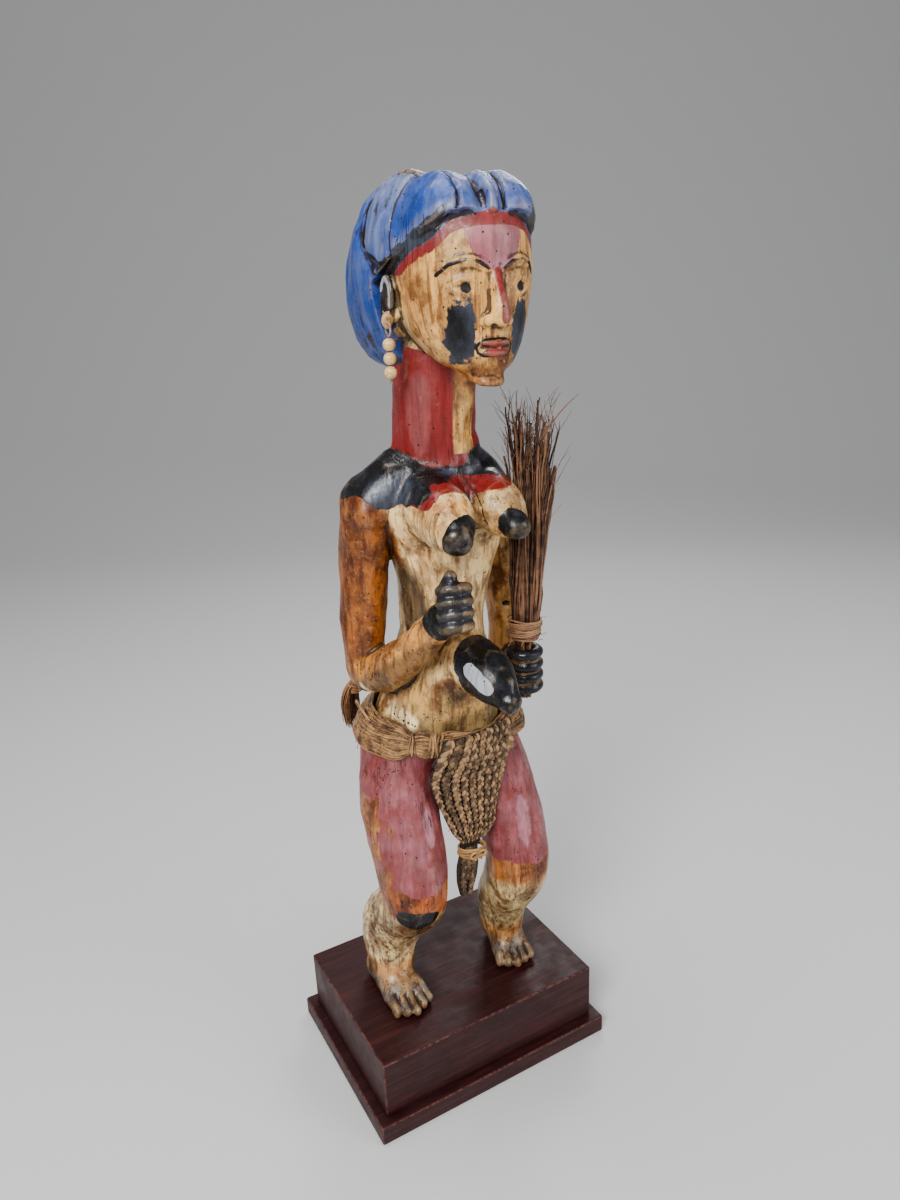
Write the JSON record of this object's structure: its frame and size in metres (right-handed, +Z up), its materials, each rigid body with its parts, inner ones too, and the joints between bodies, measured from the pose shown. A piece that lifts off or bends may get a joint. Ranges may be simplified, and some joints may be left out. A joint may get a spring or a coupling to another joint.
{
  "type": "carved ancestor statue",
  "caption": "Standing painted wooden ancestor figure with a domed coiffure, fibre belt and knotted apron, holding a bundle of twigs, on a rectangular stained wooden base.",
  "frame": {"origin": "centre of the base plate's underside", "axes": "+Z up; the figure faces -Y; +X is towards the figure's left hand, which holds the twigs"},
  "size_m": [0.2056, 0.1914, 0.6625],
  "materials": {
    "carved_wood": "carved and painted wood in old red, black, cream, ochre and blue pigment, worn and glossy from handling",
    "stained_wood": "dark red-brown stain with a satin sheen over fine straight grain",
    "plant_fibre": "dry twisted and knotted plant fibre, darkened with age",
    "fibre_cord": "thin twisted plant fibre cord",
    "twigs": "bare dark red-brown twigs",
    "bone_bead": null
  },
  "bodies": {
    "root": {"figure": "carved_wood", "base_block": "stained_wood", "base_plate": "stained_wood", "fibre_belt": "plant_fibre", "belt_tie": "fibre_cord", "fibre_tuft": "plant_fibre", "loincloth": "plant_fibre", "loincloth_tie": "fibre_cord", "twig_bundle": "twigs", "bundle_tie": "fibre_cord", "earring_cord": "fibre_cord", "earring_bead_1": "bone_bead", "earring_bead_2": "bone_bead", "earring_bead_3": "bone_bead"}
  },
  "joints": []
}
